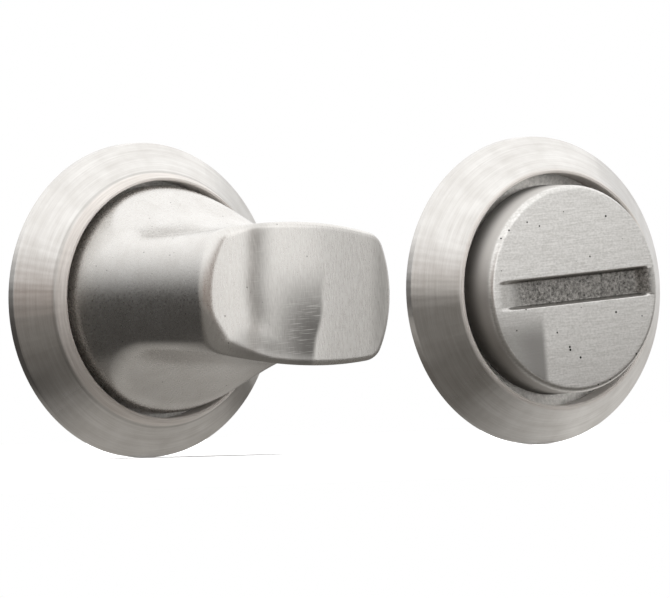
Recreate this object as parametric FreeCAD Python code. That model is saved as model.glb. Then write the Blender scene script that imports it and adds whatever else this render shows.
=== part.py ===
import FreeCAD, Part
import math
import os

Vec = FreeCAD.Vector

# Bathroom lock set: a thumb turn for the inside of the door and a coin release for the outside.
# Each half is drawn in a frame of its own: X to the right, Y up and Z straight out of the door,
# with the door's face at Z = 0. Both halves then stand side by side against one upright door face.
# Lengths are in millimetres and angles in degrees.

# Layout
half_spacing = 80.0
turn_rest_angle = -3.0
slot_rest_angle = 4.0

# Rose covers
rose_diameter = 52.0
rose_rim_height = 1.5
rose_rim_round = 0.35
rose_wall = 1.4
rose_face_width = 6.4
rose_lip_height = 8.0
rose_lip_width = 0.45
rose_lip_round = 0.2
rose_skirt_gap = 0.8
turn_collar_width = 1.4
turn_collar_rise = 2.1
release_collar_width = 0.85
release_collar_rise = 0.35
collar_foot_round = 0.9

# Base plates under the covers
plate_inset = 2.4
plate_thickness = 3.4
plate_clearance = 0.15
plate_edge_round = 0.3
boss_margin = 1.4
boss_height = 0.6
recess_clearance = 0.9
recess_depth = 1.4
screw_inset = 2.8
screw_hole_diameter = 3.2
screw_head_diameter = 5.0
screw_head_sink = 1.0

# Spring wire ring that holds each cover on its plate
snap_wire = 1.0
snap_height = 0.75
snap_reach = 0.45
snap_play = 0.05
snap_opening_angle = 24.0

# Flanged bearing bush
bush_wall = 1.6
bush_flange_width = 2.4
bush_flange_thickness = 0.8
press_clearance = 0.02
running_clearance = 0.06

# Stem of each turning piece, with its washers and retaining ring
stem_diameter = 14.0
stem_tail = 12.0
stem_end_chamfer = 0.5
thrust_gap = 0.15
stack_gap = 0.05
washer_clearance = 0.3
washer_width = 2.6
washer_thickness = 0.6
spring_thickness = 0.4
spring_rise = 0.5
ring_thickness = 1.0
ring_groove_depth = 0.45
ring_play = 0.03
ring_back_width = 2.2
ring_end_width = 1.4
ring_ear_diameter = 3.4
ring_ear_hole = 1.6
ring_gap_angle = 42.0

# Square spindle and the screw that clamps it
spindle_width = 7.0
spindle_clearance = 0.05
spindle_chamfer = 0.8
spindle_tail = 27.0
socket_depth = 15.0
spindle_end_gap = 0.2
grub_diameter = 4.0
grub_clearance = 0.05
grub_from_stem_end = 4.5
grub_sink = 0.2
grub_hex = 2.0
grub_hex_depth = 1.6

# Cast thumb turn
turn_gap = 0.8
turn_draft = 0.3
turn_base_round = 0.4
turn_reach = 48.2
turn_crown_radius = 80.0
turn_scoop_start = 0.8
turn_waist_reach = 26.0
turn_scoop_depth = 8.1
turn_grip_crown = 85.0
turn_flare = 1.0
turn_side_round = 1.4
turn_front_round = 0.9

# Coin release disc
disc_gap = 1.9
disc_draft = 0.2
disc_reach = 12.8
disc_dome = 0.3
disc_edge_round = 0.9
slot_end_margin = 1.8
slot_width = 4.4
slot_depth = 2.0
slot_end_run = 1.4
slot_corner_round = 0.7
slot_edge_round = 0.4

# Sizes worked out from the ones above
rose_radius = rose_diameter / 2
opening_radius = rose_radius - rose_face_width
plate_radius = rose_radius - plate_inset
seat_radius = plate_radius + plate_clearance
screw_radius = plate_radius - screw_inset
boss_top = plate_thickness + boss_height
stem_radius = stem_diameter / 2
bush_bore = stem_radius + running_clearance
bush_radius = bush_bore + bush_wall
flange_radius = bush_radius + bush_flange_width
boss_radius = flange_radius + boss_margin
head_bottom = boss_top + bush_flange_thickness + thrust_gap
stem_end = -stem_tail
washer_bore = stem_radius + washer_clearance
washer_radius = washer_bore + washer_width
recess_radius = washer_radius + recess_clearance
washer_top = recess_depth - stack_gap
spring_top = washer_top - washer_thickness - stack_gap
ring_top = spring_top - spring_thickness - spring_rise - stack_gap
groove_radius = stem_radius - ring_groove_depth
socket_width = spindle_width + 2 * spindle_clearance
socket_top = stem_end + socket_depth
grub_height = stem_end + grub_from_stem_end
snap_groove_half = snap_wire / 2 + snap_play
snap_centre_radius = seat_radius + snap_reach - plate_clearance - snap_wire / 2
turn_base_radius = opening_radius - turn_gap
turn_front_radius = turn_base_radius - turn_draft
waist_half = turn_base_radius - turn_scoop_depth
disc_base_radius = opening_radius - disc_gap
disc_front_radius = disc_base_radius - disc_draft
slot_half_length = disc_front_radius - slot_end_margin
out_of_the_way = rose_radius + turn_reach


def rounded_outline(corners):
    """Closed wire in the XZ plane through (x, z, round) corners, rounded as far as their sides allow."""
    points = [Vec(x, 0, z) for x, z, _ in corners]
    count = len(points)
    starts, middles, ends = [], [], []
    for i, (_, _, radius) in enumerate(corners):
        here = points[i]
        back = points[i - 1] - here
        ahead = points[(i + 1) % count] - here
        half_angle = back.getAngle(ahead) / 2
        setback = min(radius / math.tan(half_angle), 0.45 * back.Length, 0.45 * ahead.Length)
        back.normalize()
        ahead.normalize()
        bisector = (back + ahead).normalize() if setback > 0 else Vec()
        reach = setback / math.cos(half_angle) - setback * math.tan(half_angle)
        starts.append(here + back * setback)
        middles.append(here + bisector * reach)
        ends.append(here + ahead * setback)
    edges = []
    for i in range(count):
        edges.append(Part.LineSegment(ends[i - 1], starts[i]).toShape())
        if (ends[i] - starts[i]).Length > 0:
            edges.append(Part.Arc(starts[i], middles[i], ends[i]).toShape())
    return Part.Wire(edges)


def turned(corners):
    """Solid turned about Z from a rounded outline of (radius, height, round) corners."""
    return Part.Face(rounded_outline(corners)).revolve(Vec(), Vec(0, 0, 1), 360)


def tube(outer, inner, bottom, top):
    return turned([(inner, bottom, 0), (outer, bottom, 0), (outer, top, 0), (inner, top, 0)])


def cover_slope(collar_width, collar_rise):
    """Height gained for each millimetre that the cone runs inwards."""
    rise = rose_lip_height - collar_rise - rose_rim_height
    return rise / (rose_radius - opening_radius - collar_width)


def under_cover(slope, gap):
    """Height of the cover's inner cone at the rim's radius, less a gap square to the cone."""
    return rose_rim_height - (rose_wall + gap) * math.hypot(1, slope)


def rose_cover(collar_width, collar_rise):
    """Conical cover: thin rim, cone, a steeper collar round the opening and a hollow back."""
    slope = cover_slope(collar_width, collar_rise)
    inner_height = under_cover(slope, 0)
    skirt_bottom = plate_thickness + rose_skirt_gap
    skirt_radius = rose_radius - (skirt_bottom - inner_height) / slope
    seat_height = inner_height + (rose_radius - seat_radius) * slope
    groove_radius_out = snap_centre_radius + snap_groove_half
    return turned([
        (rose_radius, 0, 0),
        (rose_radius, rose_rim_height, rose_rim_round),
        (opening_radius + collar_width, rose_lip_height - collar_rise, collar_foot_round),
        (opening_radius + rose_lip_width, rose_lip_height, rose_lip_round),
        (opening_radius, rose_lip_height, rose_lip_round),
        (opening_radius, skirt_bottom, 0),
        (skirt_radius, skirt_bottom, 0),
        (seat_radius, seat_height, 0),
        (seat_radius, snap_height + snap_groove_half, 0),
        (groove_radius_out, snap_height + snap_groove_half, 0),
        (groove_radius_out, snap_height - snap_groove_half, 0),
        (seat_radius, snap_height - snap_groove_half, 0),
        (seat_radius, 0, 0),
    ])


def base_plate(collar_width, collar_rise):
    """Cast plate screwed to the door, with a coned edge under its cover and a boss for the bush."""
    slope = cover_slope(collar_width, collar_rise)
    cone_height = under_cover(slope, plate_clearance)
    edge_height = cone_height + (rose_radius - plate_radius) * slope
    face_radius = rose_radius - (plate_thickness - cone_height) / slope
    groove_radius_in = snap_centre_radius - snap_groove_half
    bore = bush_radius + press_clearance
    plate = turned([
        (plate_radius, 0, 0),
        (plate_radius, snap_height - snap_groove_half, 0),
        (groove_radius_in, snap_height - snap_groove_half, 0),
        (groove_radius_in, snap_height + snap_groove_half, 0),
        (plate_radius, snap_height + snap_groove_half, 0),
        (plate_radius, edge_height, 0),
        (face_radius, plate_thickness, plate_edge_round),
        (boss_radius, plate_thickness, plate_edge_round),
        (boss_radius, boss_top, plate_edge_round),
        (bore, boss_top, 0),
        (bore, recess_depth, 0),
        (recess_radius, recess_depth, plate_edge_round),
        (recess_radius, 0, 0),
    ])
    hole = screw_hole_diameter / 2
    head = screw_head_diameter / 2
    head_top = plate_thickness - screw_head_sink
    for side in (-1, 1):
        place = Vec(side * screw_radius, 0, 0)
        shank = Part.makeCylinder(hole, plate_thickness, place)
        countersink = Part.makeCone(hole, head, head - hole, place + Vec(0, 0, head_top - head + hole))
        pocket = Part.makeCylinder(head, plate_thickness, place + Vec(0, 0, head_top))
        plate = plate.cut(shank.multiFuse([countersink, pocket]))
    return plate


def snap_ring():
    """Open ring of round spring wire, half in the plate's groove and half in the cover's."""
    centre = Vec(snap_centre_radius, 0, snap_height)
    section = Part.Wire(Part.makeCircle(snap_wire / 2, centre, Vec(0, 1, 0)))
    ring = Part.Face(section).revolve(Vec(), Vec(0, 0, 1), 360 - snap_opening_angle)
    ring.rotate(Vec(), Vec(0, 0, 1), snap_opening_angle / 2 - 90)
    return ring


def bearing_bush():
    """Plain bush with a thrust flange on the room side."""
    return turned([
        (bush_bore, recess_depth, 0),
        (bush_radius, recess_depth, 0),
        (bush_radius, boss_top, 0),
        (flange_radius, boss_top, 0),
        (flange_radius, boss_top + bush_flange_thickness, plate_edge_round),
        (bush_bore, boss_top + bush_flange_thickness, 0),
    ])


def flat_washer():
    return tube(washer_radius, washer_bore, washer_top - washer_thickness, washer_top)


def disc_spring():
    """Coned spring washer that keeps the turning piece from rattling."""
    bottom = spring_top - spring_rise - spring_thickness
    return turned([
        (washer_bore, bottom, 0),
        (washer_radius, bottom + spring_rise, 0),
        (washer_radius, spring_top, 0),
        (washer_bore, bottom + spring_thickness, 0),
    ])


def retaining_ring():
    """External ring for the stem's groove: wide at the back, narrow at the gap, with two pierced ears."""
    bore = groove_radius + ring_play
    outer = bore + (ring_back_width + ring_end_width) / 2
    shift = (ring_back_width - ring_end_width) / 2
    bottom = ring_top - ring_thickness
    body = Part.makeCylinder(outer, ring_thickness, Vec(0, shift, bottom))
    ear_radius = bore + ring_ear_diameter / 2
    half_gap = math.radians(ring_gap_angle / 2)
    ears = [Vec(side * math.sin(half_gap), -math.cos(half_gap), 0) * ear_radius for side in (-1, 1)]
    body = body.multiFuse([Part.makeCylinder(ring_ear_diameter / 2, ring_thickness, ear + Vec(0, 0, bottom))
                           for ear in ears])
    holes = [Part.makeCylinder(ring_ear_hole / 2, ring_thickness, ear + Vec(0, 0, bottom)) for ear in ears]
    gap_width = ears[1].x - ears[0].x - ring_ear_diameter / 2
    gap = Part.makeBox(gap_width, rose_radius, ring_thickness, Vec(-gap_width / 2, -rose_radius, bottom))
    return body.cut(holes + [gap, Part.makeCylinder(bore, ring_thickness, Vec(0, 0, bottom))])


def stem():
    """Bearing stem below a head, with the ring's groove and a square socket for the spindle."""
    groove_top = ring_top + ring_play
    groove_bottom = ring_top - ring_thickness - ring_play
    shaft = turned([
        (0, stem_end, 0),
        (stem_radius - stem_end_chamfer, stem_end, 0),
        (stem_radius, stem_end + stem_end_chamfer, 0),
        (stem_radius, groove_bottom, 0),
        (groove_radius, groove_bottom, 0),
        (groove_radius, groove_top, 0),
        (stem_radius, groove_top, 0),
        (stem_radius, head_bottom, 0),
        (0, head_bottom, 0),
    ])
    corner = Vec(-socket_width / 2, -socket_width / 2, stem_end)
    return shaft.cut(Part.makeBox(socket_width, socket_width, socket_depth, corner))


def scoop():
    """Cutter for the hollow above the grip: one arc down to the waist, a slow arc out to the front.

    It sweeps round an axis far below, which crowns the grip a little from side to side.
    """
    start_height = rose_lip_height + turn_scoop_start
    run_in = turn_waist_reach - start_height
    radius_in = (run_in ** 2 + turn_scoop_depth ** 2) / (2 * turn_scoop_depth)
    half_turn = math.asin(run_in / radius_in) / 2
    run_out = turn_reach - turn_waist_reach
    radius_out = (run_out ** 2 + turn_flare ** 2) / (2 * turn_flare)

    def out_height(distance):
        return waist_half + radius_out - math.sqrt(radius_out ** 2 - distance ** 2)

    past_front = run_out + turn_front_round
    start = Vec(0, turn_base_radius, start_height)
    lowest = Vec(0, waist_half, turn_waist_reach)
    into = Vec(0, waist_half + radius_in * (1 - math.cos(half_turn)),
               turn_waist_reach - radius_in * math.sin(half_turn))
    out = Vec(0, out_height(past_front / 2), turn_waist_reach + past_front / 2)
    front = Vec(0, out_height(past_front), turn_waist_reach + past_front)
    above_front = Vec(0, out_of_the_way, front.z)
    above_start = Vec(0, out_of_the_way, start.z)
    outline = Part.Wire([
        Part.Arc(start, into, lowest).toShape(),
        Part.Arc(lowest, out, front).toShape(),
        Part.LineSegment(front, above_front).toShape(),
        Part.LineSegment(above_front, above_start).toShape(),
        Part.LineSegment(above_start, start).toShape(),
    ])
    middle = Vec(0, waist_half - turn_grip_crown, 0)
    half_sweep = math.degrees(math.asin(rose_radius / turn_grip_crown))
    outline.rotate(middle, Vec(0, 0, 1), -half_sweep)
    return Part.Face(outline).revolve(middle, Vec(0, 0, 1), 2 * half_sweep)


def crown_height(across):
    """Height of the crowned front face at a distance across from the axis."""
    return turn_reach - turn_crown_radius + math.sqrt(turn_crown_radius ** 2 - across ** 2)


def crowned_slab():
    """Everything below the front face, which is crowned from side to side."""
    left = Vec(-rose_radius, -rose_radius, crown_height(rose_radius))
    right = Vec(rose_radius, -rose_radius, crown_height(rose_radius))
    low_left = Vec(-rose_radius, -rose_radius, head_bottom)
    low_right = Vec(rose_radius, -rose_radius, head_bottom)
    outline = Part.Wire([
        Part.Arc(left, Vec(0, -rose_radius, turn_reach), right).toShape(),
        Part.LineSegment(right, low_right).toShape(),
        Part.LineSegment(low_right, low_left).toShape(),
        Part.LineSegment(low_left, left).toShape(),
    ])
    return Part.Face(outline).extrude(Vec(0, rose_diameter, 0))


def middle_of(edge):
    return edge.valueAt((edge.FirstParameter + edge.LastParameter) / 2)


def edges_above(shape, height):
    """Edges between two different faces whose middle lies above a height."""
    return [edge for edge in shape.Edges
            if len(shape.ancestorsOfType(edge, Part.Face)) == 2 and middle_of(edge).z > height]


def at_rest(shape, angle):
    """Turn a piece about its half's axis to the angle where it rests."""
    turned_shape = shape.copy()
    turned_shape.rotate(Vec(), Vec(0, 0, 1), angle)
    return turned_shape


def thumb_turn():
    """Cast round knob, hollowed above and below to a waisted grip, in one piece with its stem."""
    front_round = min(turn_front_round, 0.8 * turn_side_round)
    blank_top = turn_reach + front_round
    blank = turned([
        (0, head_bottom, 0),
        (turn_base_radius, head_bottom, turn_base_round),
        (turn_base_radius, rose_lip_height, 0),
        (turn_front_radius, blank_top, 0),
        (0, blank_top, 0),
    ])
    blank.rotate(Vec(), Vec(0, 0, 1), 90)
    upper = scoop()
    lower = upper.mirror(Vec(), Vec(0, 1, 0))
    head = blank.common(crowned_slab()).cut([upper, lower])
    front_level = crown_height(turn_front_radius) - front_round
    grip_radius = (turn_front_radius + waist_half) / 2
    sides = [edge for edge in edges_above(head, rose_lip_height + turn_scoop_start / 2)
             if middle_of(edge).z < front_level and math.hypot(*middle_of(edge)[:2]) > grip_radius]
    head = head.makeFillet(turn_side_round, sides)
    head = head.makeFillet(front_round, edges_above(head, front_level))
    turn = head.fuse(stem()).removeSplitter()
    hole = Part.makeCylinder(grub_diameter / 2 + grub_clearance, stem_diameter,
                             Vec(0, 0, grub_height), Vec(0, 1, 0))
    return at_rest(turn.cut(hole), turn_rest_angle)


def spindle():
    """Square bar with chamfered ends, seated in the thumb turn's stem."""
    bottom = -spindle_tail
    length = socket_top - spindle_end_gap - bottom
    corner = Vec(-spindle_width / 2, -spindle_width / 2, bottom)
    bar = Part.makeBox(spindle_width, spindle_width, length, corner)
    ends = [edge for edge in bar.Edges if abs(edge.Vertexes[0].Z - edge.Vertexes[1].Z) < spindle_chamfer]
    return at_rest(bar.makeChamfer(spindle_chamfer, ends), turn_rest_angle)


def grub_screw():
    """Socket set screw that clamps the spindle through the stem's wall."""
    inner = spindle_width / 2
    outer = stem_radius - grub_sink
    length = outer - inner
    up = Vec(0, 1, 0)
    screw = Part.makeCylinder(grub_diameter / 2, length, Vec(0, inner, grub_height), up)
    key_radius = grub_hex / math.sqrt(3)
    turns = [math.radians(60 * i) for i in range(7)]
    corners = [Vec(key_radius * math.cos(turn), outer, grub_height + key_radius * math.sin(turn))
               for turn in turns]
    key = Part.Face(Part.makePolygon(corners)).extrude(up * -grub_hex_depth)
    return at_rest(screw.cut(key), turn_rest_angle)


def release_disc():
    """Cast disc with a coin slot across its domed face, in one piece with its stem."""
    dome_radius = (disc_front_radius ** 2 + disc_dome ** 2) / (2 * disc_dome)
    half_turn = math.asin(disc_front_radius / dome_radius) / 2
    rim = Vec(disc_front_radius, 0, disc_reach - disc_dome)
    crown = Vec(dome_radius * math.sin(half_turn), 0, disc_reach - dome_radius * (1 - math.cos(half_turn)))
    top = Vec(0, 0, disc_reach)
    low = Vec(0, 0, head_bottom)
    foot = Vec(disc_base_radius, 0, head_bottom)
    outline = Part.Wire([
        Part.LineSegment(low, foot).toShape(),
        Part.LineSegment(foot, rim).toShape(),
        Part.Arc(rim, crown, top).toShape(),
        Part.LineSegment(top, low).toShape(),
    ])
    head = Part.Face(outline).revolve(Vec(), Vec(0, 0, 1), 360)
    head = head.makeFillet(disc_edge_round, edges_above(head, disc_reach - 2 * disc_dome))
    head = head.cut(coin_slot())
    mouth = [edge for edge in edges_above(head, disc_reach - slot_depth / 2)
             if math.hypot(*middle_of(edge)[:2]) < slot_half_length + slot_edge_round]
    head = head.makeFillet(slot_edge_round, mouth)
    return at_rest(head.fuse(stem()).removeSplitter(), slot_rest_angle)


def coin_slot():
    """Cutter for the slot: flat floor, ends that run out in a slope, and rounded corners."""
    floor = disc_reach - slot_depth
    floor_half = slot_half_length - slot_end_run
    above = slot_half_length + slot_end_run
    outline = Part.makePolygon([
        Vec(-above, -slot_width / 2, disc_reach + slot_depth),
        Vec(-floor_half, -slot_width / 2, floor),
        Vec(floor_half, -slot_width / 2, floor),
        Vec(above, -slot_width / 2, disc_reach + slot_depth),
        Vec(-above, -slot_width / 2, disc_reach + slot_depth),
    ])
    cutter = Part.Face(outline).extrude(Vec(0, slot_width, 0))
    corners = [edge for edge in cutter.Edges if abs(edge.Vertexes[0].Z - edge.Vertexes[1].Z) > slot_depth]
    return cutter.makeFillet(slot_corner_round, corners)


def against_door(shape, across):
    """Turn a half's own frame upright, so that it faces -Y, and set it across the door."""
    placed = shape.copy()
    placed.rotate(Vec(), Vec(1, 0, 0), 90)
    placed.translate(Vec(across, 0, 0))
    return placed


turn_collar = (turn_collar_width, turn_collar_rise)
release_collar = (release_collar_width, release_collar_rise)

turn_half = {
    "turn_rose": rose_cover(*turn_collar),
    "turn_base_plate": base_plate(*turn_collar),
    "turn_snap_ring": snap_ring(),
    "turn_bearing_bush": bearing_bush(),
    "turn_flat_washer": flat_washer(),
    "turn_disc_spring": disc_spring(),
    "turn_retaining_ring": retaining_ring(),
    "thumb_turn": thumb_turn(),
    "spindle": spindle(),
    "spindle_grub_screw": grub_screw(),
}

release_half = {
    "release_rose": rose_cover(*release_collar),
    "release_base_plate": base_plate(*release_collar),
    "release_snap_ring": snap_ring(),
    "release_bearing_bush": bearing_bush(),
    "release_flat_washer": flat_washer(),
    "release_disc_spring": disc_spring(),
    "release_retaining_ring": retaining_ring(),
    "release_disc": release_disc(),
}

os.makedirs("parts", exist_ok=True)
for half, across in ((turn_half, 0), (release_half, half_spacing)):
    for name, shape in half.items():
        placed = against_door(shape, across)
        if not placed.isValid() or len(placed.Solids) != 1:
            raise ValueError(f"{name} is not one valid solid")
        placed.exportStep(f"parts/{name}.step")
        print(f"{name}: {placed.Volume:.0f} mm3")
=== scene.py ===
# %% [markdown]
# # Bathroom thumb turn lock
# A privacy lock for a bathroom door, in two halves. The inside half has a thumb turn, a round cast knob
# that is hollowed above and below so that two fingers can grip it. The outside half has a disc with a slot
# for a coin, to open the lock from outside. Each half sits in a conical cover called a rose. The exact
# solids come from CAD, and this lesson gives them better surfaces, light and a camera.

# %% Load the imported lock
import math

import bmesh
import bpy
import numpy as np
from mathutils import Matrix, Vector
from mathutils.geometry import delaunay_2d_cdt


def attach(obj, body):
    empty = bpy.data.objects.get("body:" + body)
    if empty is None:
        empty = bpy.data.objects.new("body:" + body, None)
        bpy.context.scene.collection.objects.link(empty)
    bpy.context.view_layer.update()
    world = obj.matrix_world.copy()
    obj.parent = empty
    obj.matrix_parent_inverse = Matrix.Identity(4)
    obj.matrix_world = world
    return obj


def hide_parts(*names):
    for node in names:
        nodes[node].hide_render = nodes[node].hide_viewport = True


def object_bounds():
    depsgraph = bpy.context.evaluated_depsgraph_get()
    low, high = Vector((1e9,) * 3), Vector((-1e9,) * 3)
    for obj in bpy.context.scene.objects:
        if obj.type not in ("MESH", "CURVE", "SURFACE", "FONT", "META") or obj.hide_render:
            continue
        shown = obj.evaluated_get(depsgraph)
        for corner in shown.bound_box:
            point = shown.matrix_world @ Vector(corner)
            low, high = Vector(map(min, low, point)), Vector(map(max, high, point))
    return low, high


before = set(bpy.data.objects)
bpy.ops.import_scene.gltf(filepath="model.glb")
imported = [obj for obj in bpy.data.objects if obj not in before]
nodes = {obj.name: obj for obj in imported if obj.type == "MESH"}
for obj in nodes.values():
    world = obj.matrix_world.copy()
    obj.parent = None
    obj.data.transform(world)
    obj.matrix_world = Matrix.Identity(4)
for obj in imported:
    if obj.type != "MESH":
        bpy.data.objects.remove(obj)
cad_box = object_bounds()
MM = 0.001

# %% [markdown]
# ## Two helpers for node trees
# Materials and Geometry Nodes are both trees of nodes. One small function adds a node, sets its properties
# and fills its inputs with plain values or with links. Colours are written as the hex values that a paint
# program shows, which are sRGB, and another function turns them into the linear values that Blender needs.

# %% Node and colour helpers
def put(tree, kind, inputs=None, **settings):
    """Add one node; each entry of inputs is a value or an output socket to link."""
    made = tree.nodes.new(kind)
    for name, value in settings.items():
        setattr(made, name, value)
    for socket, value in (inputs or {}).items():
        target = made.inputs[socket]
        if isinstance(value, bpy.types.NodeSocket):
            tree.links.new(value, target)
        else:
            target.default_value = value
    return made


def linear(hex_colour):
    """Linear RGBA of an sRGB hex colour."""
    parts = [int(hex_colour[i:i + 2], 16) / 255 for i in (1, 3, 5)]
    return [c / 12.92 if c <= 0.04045 else ((c + 0.055) / 1.055) ** 2.4 for c in parts] + [1.0]


print("mid grey in linear light:", [round(c, 3) for c in linear("#808080")])

# %% [markdown]
# ## Stainless steel, brushed round the axis
# The rose covers are turned from stainless steel and then brushed while they spin, so fine scratches run
# round the axis. Such a surface stretches each highlight across the scratches, which Blender's Anisotropic
# setting does. A noise that is long round the circle and short across it draws the scratches themselves.
# The direction from the axis is used instead of the angle, because an angle jumps where the circle closes.

# %% A start for each steel
HALF_SPACING = 80.0     # mm from one half's axis to the other's
TO_MM = [1 / MM] * 3    # turns Object coordinates, which are metres, into millimetres
QUARTER_TURN = 0.25     # as a share of a whole turn


def blank_material(name):
    """A new material with an empty tree, and Object coordinates to draw patterns on."""
    material = bpy.data.materials.new(name)
    material.use_nodes = True
    tree = material.node_tree
    tree.nodes.clear()
    return material, tree, put(tree, "ShaderNodeTexCoord").outputs["Object"]


def steel(name, fixed):
    """A new metal with its shader; fixed holds the inputs that no pattern drives."""
    material, tree, place = blank_material(name)
    shader = put(tree, "ShaderNodeBsdfPrincipled", {"Metallic": 1.0, **fixed})
    put(tree, "ShaderNodeOutputMaterial", {"Surface": shader.outputs["BSDF"]})
    return material, tree, shader, place


def stretch_across_rings(tree, shader):
    """Stretch highlights across marks that run round the axis of a turned piece."""
    tangent = put(tree, "ShaderNodeTangent", direction_type="RADIAL", axis="Y")
    tree.links.new(tangent.outputs[0], shader.inputs["Tangent"])
    shader.inputs["Anisotropic Rotation"].default_value = QUARTER_TURN


print("patterns are drawn in mm,", TO_MM[0], "to the metre")

# %% Marks of brushing
# Each mark has its size in mm round the cover, its size in mm across it, and its detail. Real brushing is
# finer than 0.16 mm, but would not show.
BRUSH_MARKS = {"fine": (9.0, 0.16, 3.0), "streak": (16.0, 0.5, 2.0), "sector": (5.0, 40.0, 2.0)}
MEAN_RADIUS = 23.0               # mm, where marks are as long as they say
OFF_ITS_GRID = (5.3, 8.7, 0.4)   # noise fades on its own grid lines, which would show as rays
CLOUDS_PER_MM = 0.3


def brushing(tree, place, centre_x):
    """Distance from an axis along Y, and noises whose marks run round it, by name."""
    at = put(tree, "ShaderNodeMapping", {"Vector": place, "Location": (-centre_x, 0, 0),
                                         "Scale": TO_MM}).outputs["Vector"]
    split = put(tree, "ShaderNodeSeparateXYZ", {"Vector": at}).outputs
    flat = put(tree, "ShaderNodeCombineXYZ", {"X": split["X"], "Y": split["Z"]}).outputs["Vector"]
    radius = put(tree, "ShaderNodeVectorMath", {0: flat}, operation="LENGTH").outputs["Value"]
    way = put(tree, "ShaderNodeVectorMath", {0: flat}, operation="NORMALIZE").outputs["Vector"]
    across = put(tree, "ShaderNodeCombineXYZ", {"Z": radius}).outputs["Vector"]
    noise = {}
    for mark, (length, width, detail) in BRUSH_MARKS.items():
        along = put(tree, "ShaderNodeVectorMath",
                    {0: way, 1: [MEAN_RADIUS / length] * 3, 2: OFF_ITS_GRID}, operation="MULTIPLY_ADD")
        over = put(tree, "ShaderNodeVectorMath", {0: across, "Scale": 1 / width}, operation="SCALE")
        spot = put(tree, "ShaderNodeVectorMath", {0: along.outputs[0], 1: over.outputs[0]})
        noise[mark] = put(tree, "ShaderNodeTexNoise",
                          {"Vector": spot.outputs[0], "Scale": 1.0, "Detail": detail, "Roughness": 0.6,
                           "Lacunarity": 2.37}).outputs["Fac"]
    noise["cloud"] = put(tree, "ShaderNodeTexNoise", {"Vector": at, "Scale": CLOUDS_PER_MM,
                                                      "Detail": 4.0}).outputs["Fac"]
    return radius, noise


print("brushing, mm round and across:", {mark: size[:2] for mark, size in BRUSH_MARKS.items()})

# %% Colours of the cover steel
def cover_tone(tree, noise, lines, collar, foot):
    """Steel with faint marks, rubbed pale on the collar, with painted shade in the crease at the collar's
    foot.
    """
    marks = put(tree, "ShaderNodeMath", {0: lines, 1: noise["cloud"]}, operation="ADD").outputs[0]
    marks = put(tree, "ShaderNodeMapRange", {"Value": marks, "From Min": 1.15,
                                             "From Max": 1.85}).outputs[0]
    tone = put(tree, "ShaderNodeMix", {0: marks, 6: linear("#c3c0bc"), 7: linear("#d6d4d1")},
               data_type="RGBA").outputs[2]
    rubbed = put(tree, "ShaderNodeMix", {0: noise["fine"], 6: linear("#cdc8c3"), 7: linear("#fffcf9")},
                 data_type="RGBA").outputs[2]
    # The dark colour at the collar's foot is painted shade for the crease there
    for share, over in ((collar, rubbed), (foot, linear("#6f6b66"))):
        tone = put(tree, "ShaderNodeMix", {0: share, 6: tone, 7: over}, data_type="RGBA").outputs[2]
    return tone


print("dirt in linear light:", [round(c, 3) for c in linear("#6f6b66")])

# %% Brushed cover steel
COVER_STRETCH, COVER_ROUGHNESS, COLLAR_ROUGHNESS = 0.4, (0.27, 0.4), 0.85
COLLAR_FADE = (0.15, -0.25)                    # mm past the collar's foot
CREASE_AT, CREASE_FADE = 0.1, (0.25, 0.05)     # mm past the collar's foot, mm to each side of that
WAVE_DEPTH, BRUSH_DEPTH = 0.12 * MM, 0.003 * MM


def brushed_cover(name, centre_x, collar_out, crease):
    """Gives the eye fine rings, soft streaks of light that fan out from the axis, a collar rubbed pale and
    matt, and a dark line of painted shade in the crease at the collar's foot."""
    material, tree, shader, place = steel(name, {"Anisotropic": COVER_STRETCH})
    radius, noise = brushing(tree, place, centre_x)
    lines = put(tree, "ShaderNodeMath", {0: noise["fine"], 1: noise["streak"]},
                operation="ADD").outputs[0]
    collar = put(tree, "ShaderNodeMapRange", {"Value": radius, "From Min": collar_out + COLLAR_FADE[0],
                                              "From Max": collar_out + COLLAR_FADE[1]}).outputs[0]
    foot = put(tree, "ShaderNodeMath", {0: radius, 1: collar_out + CREASE_AT},
               operation="SUBTRACT").outputs[0]
    foot = put(tree, "ShaderNodeMath", {0: foot}, operation="ABSOLUTE").outputs[0]
    foot = put(tree, "ShaderNodeMapRange", {"Value": foot, "From Min": CREASE_FADE[0],
                                            "From Max": CREASE_FADE[1], "To Max": crease}).outputs[0]
    tree.links.new(cover_tone(tree, noise, lines, collar, foot), shader.inputs["Base Color"])
    rough = put(tree, "ShaderNodeMapRange",
                {"Value": noise["sector"], "From Min": 0.3, "From Max": 0.7,
                 "To Min": COVER_ROUGHNESS[0], "To Max": COVER_ROUGHNESS[1]}).outputs[0]
    rough = put(tree, "ShaderNodeMix", {0: collar, 2: rough, 3: COLLAR_ROUGHNESS},
                data_type="FLOAT").outputs[0]
    tree.links.new(rough, shader.inputs["Roughness"])
    waves = put(tree, "ShaderNodeBump", {"Height": noise["sector"], "Strength": 1.0,
                                         "Distance": WAVE_DEPTH})
    brush = put(tree, "ShaderNodeBump", {"Height": lines, "Strength": 1.0, "Distance": BRUSH_DEPTH,
                                         "Normal": waves.outputs["Normal"]})
    tree.links.new(brush.outputs["Normal"], shader.inputs["Normal"])
    stretch_across_rings(tree, shader)
    return material


turn_steel = brushed_cover("stainless steel, turned and brushed, turn cover", 0.0,
                           collar_out=21.0, crease=0.3)
release_steel = brushed_cover("stainless steel, turned and brushed, release cover", HALF_SPACING,
                              collar_out=20.4, crease=0.0)
print("cover steels:", turn_steel.name, "/", release_steel.name)

# %% [markdown]
# ## The rose covers
# Each cover is a turned piece: one outline, spun round the axis. A lathe does that to the real one, and a
# Geometry Nodes tree can do it here from named sizes. The tree sets out the corners of the outline, rounds
# them with Fillet Curve, and lays a grid of points on the spun outline. Both covers use the same tree.

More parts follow.
